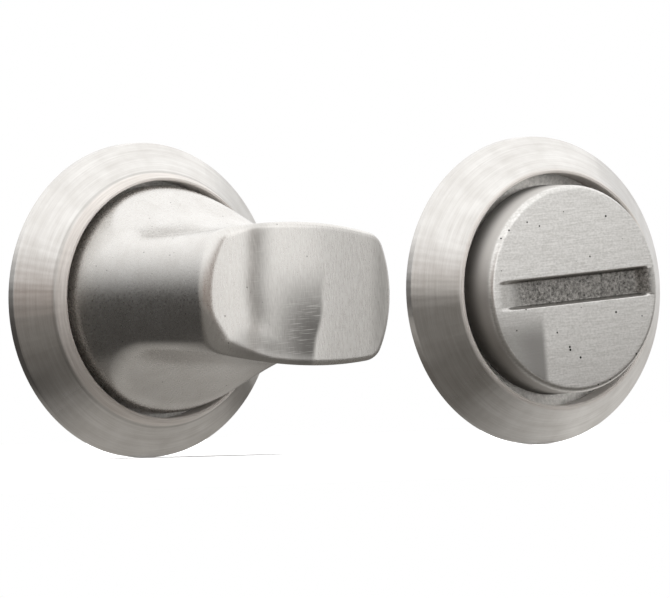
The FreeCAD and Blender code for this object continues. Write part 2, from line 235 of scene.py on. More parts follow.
# %% Sizes of the covers, in millimetres
ROSE_RADIUS, RIM_HEIGHT, ROSE_WALL = 26.0, 1.5, 1.4
OPENING_RADIUS, LIP_HEIGHT, LIP_WIDTH = 19.6, 8.0, 0.45
SKIRT_HEIGHT, SEAT_RADIUS = 4.2, 23.75
GROOVE_RADIUS, GROOVE_LOW, GROOVE_HIGH = 24.1, 0.2, 1.3
COLLARS = {"turn": (1.4, 2.1), "release": (0.85, 0.35)}    # width and rise


def cover_sizes(collar_width, collar_rise):
    """Named lengths of one cover's outline."""
    slope = (LIP_HEIGHT - collar_rise - RIM_HEIGHT) / (ROSE_RADIUS - OPENING_RADIUS - collar_width)
    inside = RIM_HEIGHT - ROSE_WALL * math.hypot(1, slope)
    return {
        "Rim radius": ROSE_RADIUS, "Rim height": RIM_HEIGHT, "Opening radius": OPENING_RADIUS,
        "Collar radius": OPENING_RADIUS + collar_width, "Collar height": LIP_HEIGHT - collar_rise,
        "Lip radius": OPENING_RADIUS + LIP_WIDTH, "Lip height": LIP_HEIGHT,
        "Skirt height": SKIRT_HEIGHT, "Skirt radius": ROSE_RADIUS - (SKIRT_HEIGHT - inside) / slope,
        "Seat radius": SEAT_RADIUS, "Seat height": inside + (ROSE_RADIUS - SEAT_RADIUS) * slope,
        "Groove radius": GROOVE_RADIUS, "Groove low": GROOVE_LOW, "Groove high": GROOVE_HIGH,
        "Back": 0.0,
    }


# Each corner of the outline: how far from the axis, how far from the door, and its rounding
COVER_CORNERS = [("Rim radius", "Back", 0.1), ("Rim radius", "Rim height", 0.35),
                 ("Collar radius", "Collar height", 0.45), ("Lip radius", "Lip height", 0.2),
                 ("Opening radius", "Lip height", 0.2), ("Opening radius", "Skirt height", 0.1),
                 ("Skirt radius", "Skirt height", 0.1), ("Seat radius", "Seat height", 0.05),
                 ("Seat radius", "Groove high", 0.05), ("Groove radius", "Groove high", 0.05),
                 ("Groove radius", "Groove low", 0.05), ("Seat radius", "Groove low", 0.05),
                 ("Seat radius", "Back", 0.05)]
print("turn cover:", {k: round(v, 2) for k, v in cover_sizes(*COLLARS["turn"]).items()})

# %% Outline of a cover, as nodes
ROUNDING_POINTS, MOST_CUTS = 5, 12.0


def cover_outline(tree, size, index, here):
    """Corners set out from the tree's inputs, rounded, and cut into short rows."""
    spots = put(tree, "GeometryNodeIndexSwitch", data_type="VECTOR")
    rounds = put(tree, "GeometryNodeIndexSwitch", data_type="FLOAT")
    for _ in COVER_CORNERS[2:]:
        spots.index_switch_items.new()
        rounds.index_switch_items.new()
    for i, (across, height, rounding) in enumerate(COVER_CORNERS):
        out = put(tree, "ShaderNodeMath", {0: size[height], 1: -1.0}, operation="MULTIPLY").outputs[0]
        corner = put(tree, "ShaderNodeCombineXYZ", {"X": size[across], "Y": out})
        tree.links.new(corner.outputs[0], spots.inputs[i + 1])
        rounds.inputs[i + 1].default_value = rounding * MM
    tree.links.new(index, spots.inputs[0])
    tree.links.new(index, rounds.inputs[0])
    line = put(tree, "GeometryNodeMeshLine", {"Count": len(COVER_CORNERS)}).outputs[0]
    line = put(tree, "GeometryNodeSetPosition", {"Geometry": line,
                                                 "Position": spots.outputs[0]}).outputs[0]
    curve = put(tree, "GeometryNodeMeshToCurve", {"Mesh": line}).outputs[0]
    curve = put(tree, "GeometryNodeSetSplineCyclic", {"Geometry": curve, "Cyclic": True}).outputs[0]
    curve = put(tree, "GeometryNodeFilletCurve",
                {"Curve": curve, "Count": ROUNDING_POINTS, "Radius": rounds.outputs[0],
                 "Limit Radius": True}, mode="POLY").outputs[0]
    after = put(tree, "ShaderNodeMath", {0: index, 1: 1.0}).outputs[0]
    ahead = put(tree, "GeometryNodeFieldAtIndex", {"Index": after, "Value": here},
                data_type="FLOAT_VECTOR").outputs[0]
    run = put(tree, "ShaderNodeVectorMath", {0: here, 1: ahead}, operation="DISTANCE").outputs["Value"]
    cuts = put(tree, "ShaderNodeMath", {0: run, 1: size["Row pitch"]}, operation="DIVIDE").outputs[0]
    cuts = put(tree, "ShaderNodeMath", {0: cuts, 1: MOST_CUTS}, operation="MINIMUM").outputs[0]
    curve = put(tree, "GeometryNodeSubdivideCurve", {"Curve": curve, "Cuts": cuts}).outputs[0]
    return put(tree, "GeometryNodeCurveToMesh", {"Curve": curve}).outputs[0]


print("corners of the outline:", len(COVER_CORNERS))

# %% Tree that turns a cover
WELD = 0.001 * MM
COVER_INPUTS = {**dict.fromkeys(cover_sizes(*COLLARS["turn"]), "NodeSocketFloat"),
                "Axis across": "NodeSocketFloat", "Row pitch": "NodeSocketFloat",
                "Segments": "NodeSocketInt", "Finish": "NodeSocketMaterial"}


def cover_tree():
    """Geometry Nodes tree that spins a cover's outline round its axis and welds the seam."""
    tree = bpy.data.node_groups.new("turned rose cover", "GeometryNodeTree")
    for name, kind in COVER_INPUTS.items():
        tree.interface.new_socket(name, in_out="INPUT", socket_type=kind)
    tree.interface.new_socket("Cover", in_out="OUTPUT", socket_type="NodeSocketGeometry")
    size = put(tree, "NodeGroupInput").outputs
    index = put(tree, "GeometryNodeInputIndex").outputs[0]
    here = put(tree, "GeometryNodeInputPosition").outputs[0]
    outline = cover_outline(tree, size, index, here)
    count = put(tree, "GeometryNodeAttributeDomainSize", {"Geometry": outline}).outputs["Point Count"]
    rows = put(tree, "ShaderNodeMath", {0: count, 1: 1.0}).outputs[0]
    turns = put(tree, "ShaderNodeMath", {0: size["Segments"], 1: 1.0}).outputs[0]
    grid = put(tree, "GeometryNodeMeshGrid", {"Vertices X": rows, "Vertices Y": turns}).outputs[0]
    row = put(tree, "ShaderNodeMath", {0: index, 1: turns}, operation="DIVIDE").outputs[0]
    row = put(tree, "ShaderNodeMath", {0: row}, operation="FLOOR").outputs[0]
    row = put(tree, "ShaderNodeMath", {0: row, 1: count}, operation="FLOORED_MODULO").outputs[0]
    turn = put(tree, "ShaderNodeMath", {0: index, 1: turns}, operation="FLOORED_MODULO").outputs[0]
    turn = put(tree, "ShaderNodeMath", {0: turn, 1: size["Segments"]}, operation="DIVIDE").outputs[0]
    angle = put(tree, "ShaderNodeMath", {0: turn, 1: 2 * math.pi}, operation="MULTIPLY").outputs[0]
    point = put(tree, "GeometryNodeSampleIndex", {"Geometry": outline, "Value": here, "Index": row},
                data_type="FLOAT_VECTOR").outputs[0]
    spun = put(tree, "ShaderNodeVectorRotate", {"Vector": point, "Angle": angle},
               rotation_type="Y_AXIS").outputs[0]
    away = put(tree, "ShaderNodeCombineXYZ", {"X": size["Axis across"]}).outputs[0]
    cover = put(tree, "GeometryNodeSetPosition", {"Geometry": grid, "Position": spun,
                                                  "Offset": away}).outputs[0]
    cover = put(tree, "GeometryNodeMergeByDistance", {"Geometry": cover, "Distance": WELD}).outputs[0]
    cover = put(tree, "GeometryNodeSetShadeSmooth", {"Geometry": cover}).outputs[0]
    cover = put(tree, "GeometryNodeRealizeInstances", {"Geometry": cover}).outputs[0]
    cover = put(tree, "GeometryNodeSetMaterial", {"Geometry": cover,
                                                  "Material": size["Finish"]}).outputs[0]
    put(tree, "NodeGroupOutput", {"Cover": cover})
    return tree


turning = cover_tree()
print("cover tree:", len(turning.nodes), "nodes")

# %% Turn both covers
ROW_PITCH, COVER_SEGMENTS = 0.5, 240


def plain_mesh(name, tree, values):
    """Run a tree with named input values and keep its result as an ordinary mesh."""
    piece = bpy.data.objects.new(name, bpy.data.meshes.new(name))
    bpy.context.scene.collection.objects.link(piece)
    modifier = piece.modifiers.new(tree.name, "NODES")
    modifier.node_group = tree
    names = {s.name: s.identifier for s in tree.interface.items_tree if s.in_out == "INPUT"}
    for name_of_input, value in values.items():
        modifier[names[name_of_input]] = value
    graph = bpy.context.evaluated_depsgraph_get()
    made = bpy.data.meshes.new_from_object(piece.evaluated_get(graph))
    piece.modifiers.remove(modifier)
    piece.data = made
    made.name = name
    shape = bmesh.new()
    shape.from_mesh(made)
    bmesh.ops.recalc_face_normals(shape, faces=shape.faces)
    shape.to_mesh(made)
    shape.free()
    return piece


def settle(piece, body, node):
    """Hand a finished piece to the frame in place of its CAD node."""
    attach(piece, body)
    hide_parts(node)
    print(piece.name, len(piece.data.polygons), "faces on", body)


COVERS = (("turn_rose_cover", "turn", 0.0, turn_steel),
          ("release_rose_cover", "release", HALF_SPACING, release_steel))
for name, half, across, finish in COVERS:
    sizes = {key: value * MM for key, value in cover_sizes(*COLLARS[half]).items()}
    sizes.update({"Axis across": across * MM, "Row pitch": ROW_PITCH * MM, "Segments": COVER_SEGMENTS,
                  "Finish": finish})
    settle(plain_mesh(name, turning, sizes), "door_roses", half + "_rose")

# %% [markdown]
# ## The thumb turn
# The knob is cast, then ground and satin finished. Its shape follows a rule: a round body, cut by a hollow
# above and one below, with a crowned front. Boolean cuts would give the shape but an untidy mesh. Here each
# surface is a field that is zero on it and negative inside, two fields meet in a rounded edge, and points
# are moved along rays until the joint field is zero. That gives clean rings of four-sided faces.

# %% Fields of the thumb turn's sides, in millimetres
HEAD_BOTTOM, STEM_RADIUS = 4.95, 7.0
TURN_BASE, TURN_FRONT, TURN_REACH = 18.8, 18.5, 48.2
CROWN_RADIUS, WAIST_REACH, WAIST_HALF, FLARE = 80.0, 26.0, 10.7, 1.0
SCOOP_START, SIDE_ROUND, FRONT_ROUND, GRIP_CROWN = 8.8, 1.4, 0.9, 85.0
TURN_ANGLE = -3.0    # degrees that the grip stands away from level


def rounded_meet(a, b, radius):
    """Field of the space inside two fields, with a rounded edge where they meet."""
    corner = np.hypot(np.maximum(a + radius, 0), np.maximum(b + radius, 0))
    return np.minimum(np.maximum(a, b), -radius) + corner


def grip_half(reach):
    """Half the grip's thickness at a reach from the door, and its slope."""
    depth, run = TURN_BASE - WAIST_HALF, WAIST_REACH - SCOOP_START
    r_in = (run ** 2 + depth ** 2) / (2 * depth)
    r_out = ((TURN_REACH - WAIST_REACH) ** 2 + FLARE ** 2) / (2 * FLARE)
    to_waist = np.clip(WAIST_REACH - reach, 0, run)
    past_waist = np.maximum(reach - WAIST_REACH, 0)
    steep = run / math.sqrt(r_in ** 2 - run ** 2)
    before = np.maximum(SCOOP_START - reach, 0)
    root_in = np.sqrt(r_in ** 2 - to_waist ** 2)
    root_out = np.sqrt(r_out ** 2 - past_waist ** 2)
    half = WAIST_HALF + (r_in - root_in) + (r_out - root_out) + steep * before
    slope = np.where(before > 0, steep, to_waist / root_in + past_waist / root_out)
    return half, slope


def turn_side(x, up, reach):
    """Field of the round body with its two hollows."""
    taper = np.clip((reach - LIP_HEIGHT) / (TURN_REACH - LIP_HEIGHT), 0, 1)
    body = TURN_BASE - (TURN_BASE - TURN_FRONT) * taper
    half, slope = grip_half(reach)
    below = GRIP_CROWN - WAIST_HALF
    height = np.hypot(x, np.abs(up) + below) - below
    return rounded_meet(np.hypot(x, up) - body, (height - half) / np.hypot(1, slope), SIDE_ROUND)


print("grip thickness at the waist:", round(2 * float(grip_half(np.array(WAIST_REACH))[0]), 2), "mm")

# %% Fields of the thumb turn's front, in millimetres
HAND_SWAY, SWAY_PHASE = 0.2, 1.0
FLAT_DROP, FLAT_EDGE, FLAT_RUN = 0.42, -7.6, 3.8    # the flat that was ground lower, at the left
SWELL, SWELL_PITCH = 0.03, 2.2


def ease(value):
    """Smooth step from 0 to 1."""
    value = np.clip(value, 0, 1)
    return value * value * (3 - 2 * value)


def rise(value, start, run):
    """0 as far as start, then smoothly up to 1 over a run."""
    return ease((value - start) / run)


def fall(value, end, run):
    """1 until a run before end, then smoothly down to 0 at end."""
    return ease((end - value) / run)


def swaying(x, up, long_sway, short_sway, short_size):
    """Place across the front, shifted by two waves, as lines ground by hand are not straight."""
    return x + HAND_SWAY * np.sin(up / long_sway) + short_size * np.sin(up / short_sway + SWAY_PHASE)


def crown(x, up):
    """Reach of the front face: crowned from side to side, with flats left by grinding by hand."""
    place = swaying(x, up, 3.1, 1.7, 0.12)
    step = FLAT_DROP * fall(place, FLAT_EDGE, FLAT_RUN)
    swell = SWELL * np.sin(place / SWELL_PITCH)
    return TURN_REACH - CROWN_RADIUS + np.sqrt(CROWN_RADIUS ** 2 - x ** 2) - SWELL - step + swell


def front_coarseness_and_painted_shade(x, up):
    """How coarsely the front is ground, and its painted shade for dark reflections, 0 to 1, places and runs
    in mm.
    """
    place = swaying(x, up, 2.6, 1.3, 0.15)
    band = 0.45 * np.exp(-((place + 9.0) / 1.9) ** 2) * rise(up, -9.0, 6.0)
    patch = 0.9 * rise(place, -11.0, 12.0) * fall(up, 6.0, 12.0)
    foot = 0.6 * rise(place, -15.0, 5.0) * fall(up, -5.0, 4.0)
    patch = np.maximum(patch, foot) * fall(place, 3.8 + 0.15 * up, 1.0)
    right = 0.25 * rise(x, 13.0, 3.0) * fall(x, 18.0, 1.0)
    return np.clip(band + patch + right, 0, 1)


def front_round(x, up):
    """Radius of the edge round the front face, wider at the left and most of all at the lower left."""
    left, lower = fall(x, -9.0, 7.0), fall(x, -5.0, 9.0) * fall(up, -3.0, 6.0)
    return FRONT_ROUND + 0.7 * left + 1.0 * lower


def turn_head(x, up, reach):
    """Field of the whole head."""
    return rounded_meet(turn_side(x, up, reach), reach - crown(x, up), front_round(x, up))


print("reach at the middle of the front:", round(float(crown(np.array(0.0), np.array(0.0))), 2), "mm")

# %% Rings of points on the thumb turn
HALVINGS, LONGEST_RAY, CORNER_RAY = 44, 30.0, 9.0
SPOKES, FOOT_ROWS, SIDE_ROWS, CORNER_ROWS, FRONT_ROWS = 240, 5, 84, 14, 34
FOOT_BEVEL, FOOT_EDGE, FOOT_SHARE = 0.12, 0.4, 0.12
UNDERSIDE_RADIUS, UNDERSIDE_STEP = STEM_RADIUS + 3, 2
BEHIND_FRONT, INSIDE_LEVEL = 2.0, 30.0


def along_rays(field, start, way, longest):
    """Distance along each ray at which a field that is negative inside becomes zero."""
    low, high = np.zeros(start[0].shape), np.full(start[0].shape, longest)
    for _ in range(HALVINGS):
        middle = (low + high) / 2
        inside = field(*(s + w * middle for s, w in zip(start, way))) < 0
        low, high = np.where(inside, middle, low), np.where(inside, high, middle)
    return low


angles = np.linspace(0, 2 * math.pi, SPOKES, endpoint=False)
cos_a, sin_a, nought = np.cos(angles), np.sin(angles), 0 * angles


def side_ring(reach):
    """Distance from the axis to the knob's side, all the way round, at a reach from the door."""
    return along_rays(turn_side, (nought, nought, reach), (cos_a, sin_a, nought), LONGEST_RAY)


edge = side_ring(np.full(SPOKES, TURN_REACH - BEHIND_FRONT))
inset = 2 * front_round(edge * cos_a, edge * sin_a)
pivot_out = edge - inset
pivot_reach = crown(pivot_out * cos_a, pivot_out * sin_a) - inset
rows = [(np.full(SPOKES, out), np.full(SPOKES, reach)) for out, reach in
        ((UNDERSIDE_RADIUS, HEAD_BOTTOM), (TURN_BASE - UNDERSIDE_STEP, HEAD_BOTTOM),
         (TURN_BASE - FOOT_EDGE, HEAD_BOTTOM), (TURN_BASE - FOOT_BEVEL, HEAD_BOTTOM + FOOT_BEVEL))]
for part in np.concatenate([np.linspace(0, FOOT_SHARE, FOOT_ROWS)[:-1],
                            np.linspace(FOOT_SHARE, 1, SIDE_ROWS)]):
    reach = HEAD_BOTTOM + FOOT_EDGE + (pivot_reach - HEAD_BOTTOM - FOOT_EDGE) * part
    rows.append((side_ring(reach), reach))
for lean in np.linspace(0, math.pi / 2, CORNER_ROWS + 1)[1:]:
    way = (math.cos(lean) * cos_a, math.cos(lean) * sin_a, np.full(SPOKES, math.sin(lean)))
    far = along_rays(turn_head, (pivot_out * cos_a, pivot_out * sin_a, pivot_reach), way, CORNER_RAY)
    rows.append((pivot_out + far * math.cos(lean), pivot_reach + far * math.sin(lean)))
corner_row = len(rows)
for part in np.linspace(1, 0, FRONT_ROWS + 1)[1:]:
    out = pivot_out * part
    start = (out * cos_a, out * sin_a, nought + INSIDE_LEVEL)
    rise_to = along_rays(turn_head, start, (nought, nought, nought + 1), LONGEST_RAY)
    rows.append((out, rise_to + INSIDE_LEVEL))
print("thumb turn:", len(rows), "rings of", SPOKES)

# %% Helpers for a head on its stem from CAD
AROUND = [(i, (i + 1) % SPOKES) for i in range(SPOKES)]
CUT_SLACK, SHARP_DEGREES = 0.002, 32


def stem_of(node):
    """The stem below a head, copied from the CAD node and cut off at the head's underside."""
    shape = bmesh.new()
    shape.from_mesh(nodes[node].data)
    bmesh.ops.remove_doubles(shape, verts=shape.verts, dist=2 * WELD)
    limit = -(HEAD_BOTTOM - CUT_SLACK) * MM
    head = [f for f in shape.faces if f.calc_center_median().y < limit]
    bmesh.ops.delete(shape, geom=head, context="FACES")
    return shape


def ring_faces(shape, ring, other):
    """Four-sided faces between two rings of points."""
    for i, j in AROUND:
        shape.faces.new((ring[i], ring[j], other[j], other[i]))


def join_to_stem(shape, ring, stem_edges):
    """Close the gap between a head's innermost ring and the stem's open edge."""
    ring_edges = [shape.edges.get((ring[i], ring[j])) for i, j in AROUND]
    bmesh.ops.bridge_loops(shape, edges=stem_edges + ring_edges)
    print("open edges:", sum(e.is_boundary for e in shape.edges))


def finish_mesh(name, shape, material):
    """Turn a bmesh into a smooth-shaded piece with sharp edges where faces meet at an angle."""
    bmesh.ops.recalc_face_normals(shape, faces=shape.faces)
    mesh = bpy.data.meshes.new(name)
    shape.to_mesh(mesh)
    shape.free()
    mesh.polygons.foreach_set("use_smooth", [True] * len(mesh.polygons))
    mesh.set_sharp_from_angle(angle=math.radians(SHARP_DEGREES))
    mesh.materials.append(material)
    piece = bpy.data.objects.new(name, mesh)
    bpy.context.scene.collection.objects.link(piece)
    return piece


print("faces in one ring:", len(AROUND))

# %% Mesh of the thumb turn
shape = stem_of("thumb_turn")
ground = shape.verts.layers.float.new("ground")
wear_and_painted_reflection = shape.verts.layers.float.new("wear_and_painted_reflection")
stem_edges = [e for e in shape.edges if e.is_boundary]
spin = angles + math.radians(TURN_ANGLE)
rings = []
for number, (out, reach) in enumerate(rows[:-1]):
    amount = min(max((number - corner_row + CORNER_ROWS) / CORNER_ROWS, 0), 1)
    ring = [shape.verts.new((o * math.cos(t) * MM, -h * MM, o * math.sin(t) * MM))
            for o, h, t in zip(out, reach, spin)]
    # Each point stores how coarsely it is ground and how much painted shade for dark reflections it takes
    for vert, wear_and_shade in zip(ring, front_coarseness_and_painted_shade(out * cos_a, out * sin_a)):
        vert[ground] = amount
        vert[wear_and_painted_reflection] = amount * wear_and_shade
    rings.append(ring)
for ring, other in zip(rings, rings[1:]):
    ring_faces(shape, ring, other)
tip = shape.verts.new((0, -float(rows[-1][1][0]) * MM, 0))
tip[ground] = 1.0
tip[wear_and_painted_reflection] = float(front_coarseness_and_painted_shade(np.array(0.0), np.array(0.0)))
for i, j in AROUND:
    shape.faces.new((rings[-1][i], rings[-1][j], tip))
join_to_stem(shape, rings[0], stem_edges)

# %% [markdown]
# ## Cast stainless steel, ground and satin finished
# The knob's sides are blasted to an even satin grain. Its front was ground by hand: short scratches run
# across it, a few bands are duller, and here and there a casting pore is left. Those bands are also painted
# dark, as painted shade for the dark reflections they show. Two values stored on each point let one
# material show all this. One called ground is 1 on the front and 0 on the sides, and one called
# wear_and_painted_reflection says how coarsely the front was ground there and how dark it is painted.

# %% Marks and colours of the knob steel
# Each mark has its size in mm across, out from the door and upwards, and its detail.
KNOB_MARKS = {"grain": ((0.4, 0.4, 0.4), 3.0), "cloud": ((4.0, 4.0, 4.0), 4.0),
              "upright": ((0.2, 1.0, 1.6), 3.0), "level": ((4.5, 1.0, 0.2), 2.0)}


def marks(tree, at, size, detail, sharpness=0.6):
    """Noise whose marks are about so many mm long each way."""
    spot = put(tree, "ShaderNodeMapping", {"Vector": at, "Scale": [1 / mm for mm in size]})
    return put(tree, "ShaderNodeTexNoise", {"Vector": spot.outputs[0], "Scale": 1.0, "Detail": detail,
                                            "Roughness": sharpness}).outputs["Fac"]


def knob_tone(tree, noise, front, coarse_and_painted_reflection, pores):
    """Even grey on the sides, hatched on the front, and where the front is ground coarsely, painted dark
    with pale scratches, as shade for a dark reflection.
    """
    side = put(tree, "ShaderNodeMath", {0: noise["grain"], 1: noise["cloud"]}, operation="ADD").outputs[0]
    side = put(tree, "ShaderNodeMapRange", {"Value": side, "From Min": 0.7, "From Max": 1.3}).outputs[0]
    tone = put(tree, "ShaderNodeMix", {0: side, 6: linear("#c5c2be"), 7: linear("#d3d1ce")},
               data_type="RGBA").outputs[2]
    hatch = put(tree, "ShaderNodeMapRange", {"Value": noise["upright"], "From Min": 0.3,
                                             "From Max": 0.7}).outputs[0]
    hatch = put(tree, "ShaderNodeMix", {0: hatch, 6: linear("#bdbab6"), 7: linear("#d9d7d3")},
                data_type="RGBA").outputs[2]
    scored = put(tree, "ShaderNodeMapRange", {"Value": noise["level"], "From Min": 0.54,
                                              "From Max": 0.72}).outputs[0]
    scored = put(tree, "ShaderNodeMath", {0: scored, 1: coarse_and_painted_reflection}, operation="MULTIPLY").outputs[0]
    # The dark colour is painted shade for the dark reflection on the coarsely ground patch; the pale one is
    # its scratches
    dark_reflection_patch = put(tree, "ShaderNodeMix", {0: scored, 6: linear("#5c5a57"), 7: linear("#bab8b4")},
               data_type="RGBA").outputs[2]
    for share, over in ((front, hatch), (coarse_and_painted_reflection, dark_reflection_patch), (pores, linear("#6a6865"))):
        tone = put(tree, "ShaderNodeMix", {0: share, 6: tone, 7: over}, data_type="RGBA").outputs[2]
    return tone


print("knob marks, mm:", {mark: size for mark, (size, _) in KNOB_MARKS.items()})

# %% Knob steel
KNOB_PORE_PITCH, KNOB_PORE_EDGE = 2.5, (0.06, 0.03)
KNOB_ROUGHNESS, COARSE_ROUGHNESS, SCRATCH_DEPTH = (0.24, 0.34), 0.1, 0.009 * MM


def knob_steel():
    """Gives the eye soft, even highlights on the sides, and a scratched front with a rougher patch painted
    dark, as shade for a dark reflection.
    """
    material, tree, shader, place = steel("stainless steel, cast, ground and satin finished", {})
    at = put(tree, "ShaderNodeMapping", {"Vector": place, "Rotation": (0, math.radians(-TURN_ANGLE), 0),
                                         "Scale": TO_MM}).outputs["Vector"]
    front, coarse_and_painted_reflection = [put(tree, "ShaderNodeAttribute", attribute_name=value).outputs["Fac"]
                     for value in ("ground", "wear_and_painted_reflection")]
    noise = {mark: marks(tree, at, size, detail) for mark, (size, detail) in KNOB_MARKS.items()}
    pattern = put(tree, "ShaderNodeMix", {0: coarse_and_painted_reflection, 2: noise["upright"], 3: noise["level"]},
                  data_type="FLOAT").outputs[0]
    pattern = put(tree, "ShaderNodeMix", {0: front, 2: noise["grain"], 3: pattern},
                  data_type="FLOAT").outputs[0]
    pores = put(tree, "ShaderNodeTexVoronoi", {"Vector": at,
                                               "Scale": 1 / KNOB_PORE_PITCH}).outputs["Distance"]
    pores = put(tree, "ShaderNodeMapRange", {"Value": pores, "From Min": KNOB_PORE_EDGE[0],
                                             "From Max": KNOB_PORE_EDGE[1]}).outputs[0]
    tree.links.new(knob_tone(tree, noise, front, coarse_and_painted_reflection, pores), shader.inputs["Base Color"])
    rough = put(tree, "ShaderNodeMapRange",
                {"Value": pattern, "From Min": 0.3, "From Max": 0.7,
                 "To Min": KNOB_ROUGHNESS[0], "To Max": KNOB_ROUGHNESS[1]}).outputs[0]
    rough = put(tree, "ShaderNodeMath", {0: coarse_and_painted_reflection, 1: COARSE_ROUGHNESS, 2: rough},
                operation="MULTIPLY_ADD").outputs[0]
    tree.links.new(rough, shader.inputs["Roughness"])
    relief = put(tree, "ShaderNodeMath", {0: pores, 1: -1.0, 2: pattern},
                 operation="MULTIPLY_ADD").outputs[0]
    bump = put(tree, "ShaderNodeBump", {"Height": relief, "Strength": 1.0, "Distance": SCRATCH_DEPTH})
    tree.links.new(bump.outputs["Normal"], shader.inputs["Normal"])
    return material


knob = finish_mesh("thumb_turn_knob", shape, knob_steel())
settle(knob, "turn", "thumb_turn")

# %% [markdown]
# ## The coin release disc
# The disc's face is slightly domed, with a slot that a coin or a screwdriver turns. The slot is cast, not
# milled: its floor is rough and its ends run out in a slope. The face is a height over the plane, so points
# on a grid that is finer at the slot's walls are joined with a Delaunay triangulation and then lifted.

# %% Height of the disc's face, in millimetres
DISC_FRONT, DISC_FLARE, DISC_REACH, DISC_DOME, DISC_EDGE = 17.5, 0.2, 12.8, 0.3, 0.9
DISC_BASE = DISC_FRONT + DISC_FLARE
SLOT_HALF, SLOT_WIDTH, SLOT_DEPTH, SLOT_ANGLE = 15.7, 4.4, 2.0, 4.0
LEFT_PAST, LEFT_RUN, RIGHT_PAST, RIGHT_RUN = 0.3, 7.0, 0.1, 2.0    # ends of the slot
WALL_PAST, WALL_RUN = 0.32, 0.62                                   # walls, with their soft edges
SKIN_PAST, SKIN_WALL, SKIN_SHIFT, SKIN_RUN = 0.2, 0.3, 1.5, 6.5    # where the cast skin stops
LOW_EDGE, LOW_SLOPE, LOW_WIDTH = -7.2, 0.03, 10    # the corner that was ground lower
DOME_RADIUS = (DISC_FRONT ** 2 + DISC_DOME ** 2) / (2 * DISC_DOME)


def slot_ends(along, left_run):
    """1 between the slot's ends, with a long slope to 0 at the left and a short one at the right."""
    left = rise(along, -(SLOT_HALF + LEFT_PAST), left_run)
    return left * fall(along, SLOT_HALF + RIGHT_PAST, RIGHT_RUN)


def slot_depth(along, over):
    """Depth of the slot below the face: steep walls with soft edges, ends that run out in a slope."""
    walls = fall(np.abs(over), SLOT_WIDTH / 2 + WALL_PAST, WALL_RUN)
    return SLOT_DEPTH * walls * slot_ends(along, LEFT_RUN)


def slot_cast(along, over):
    """1 where the slot keeps its cast skin."""
    walls = fall(np.abs(over), SLOT_WIDTH / 2 + SKIN_PAST, SKIN_WALL)
    return walls * slot_ends(along - SKIN_SHIFT, SKIN_RUN)


def face_painted_reflection(along, over):
    """The corner of the face that was ground lower, painted darker as shade for a dark reflection, from 0
    to 1.
    """
    return fall(along, -6.7, 1.2) * fall(over, -1.5, 7.0) * (0.55 + 0.45 * rise(along, -16.0, 7.0))


def disc_face(along, over):
    """Reach of the disc's face: a shallow dome, one corner ground a little lower, and the slot."""
    dome = DISC_REACH - DOME_RADIUS + np.sqrt(DOME_RADIUS ** 2 - along ** 2 - over ** 2)
    low = LOW_SLOPE * np.clip(LOW_EDGE - along, 0, LOW_WIDTH) * fall(over, -1.5, 10.0)
    return dome - low - slot_depth(along, over)


def grid_lines(*spans):
    """Places of grid lines, from spans that each have a first place, a last place and a count."""
    return np.concatenate([np.linspace(*span) for span in spans])


across_wall = grid_lines((1.75, 2.6, 10), (2.9, 16.4, 24))
over_lines = np.concatenate([-across_wall[::-1], grid_lines((-1.5, 1.5, 11)), across_wall])
along_lines = grid_lines((-16.1, -13.6, 12), (-13.3, 14.2, 92), (14.4, 16.1, 12))
grid_along, grid_over = np.meshgrid(along_lines, over_lines)
FROM_EDGE = 0.12    # no grid point is closer than this to the rim's own points
keep = np.hypot(grid_along, grid_over) < DISC_FRONT - DISC_EDGE - FROM_EDGE
print("points on the disc's face:", int(keep.sum()))

# %% Plan of the disc's face
tilt = math.radians(SLOT_ANGLE)
turn_slot = np.array([[math.cos(tilt), -math.sin(tilt)], [math.sin(tilt), math.cos(tilt)]])
inner = np.stack([grid_along[keep], grid_over[keep]], axis=1)
rim = (DISC_FRONT - DISC_EDGE) * np.stack([cos_a, sin_a], axis=1)
flat_points = [Vector(p) for p in np.concatenate([rim, inner])]
points, _, triangles, _, _, _ = delaunay_2d_cdt(flat_points, AROUND, [], 0, 1e-6)
plan = np.array([[p.x, p.y] for p in points])
height = disc_face(plan[:, 0], plan[:, 1])
turned_plan = plan @ turn_slot.T
print("triangles in the face:", len(triangles))

# %% Mesh of the disc
EDGE_ROWS, WALL_ROWS = 9, 12
DISC_FOOT_BEVEL, DISC_FOOT_EDGE = 0.06, 0.2
SIDE_FROM, SIDE_OVER = 4, 4                        # rows of the outline
# Painted shade low on the disc's side, deep in the gap: its darkest share, then where it starts and how far
# it fades
GAP_SHADE, GAP_SHADE_TOP, GAP_SHADE_RUN = 0.75, 10.5, 4.5      # most of it, then mm from the door
DISC_VALUES = ("cast", "wear_and_painted_reflection", "side", "gap_shade")    # stored on points, for the material
shape = stem_of("release_disc")
cast, wear_and_painted_reflection, side, gap_shade = [shape.verts.layers.float.new(value) for value in DISC_VALUES]
stem_edges = [e for e in shape.edges if e.is_boundary]


def disc_point(x, up, reach):
    """A point of the disc, from mm across and up from its axis and out from the door."""
    return shape.verts.new(((HALF_SPACING + x) * MM, -reach * MM, up * MM))


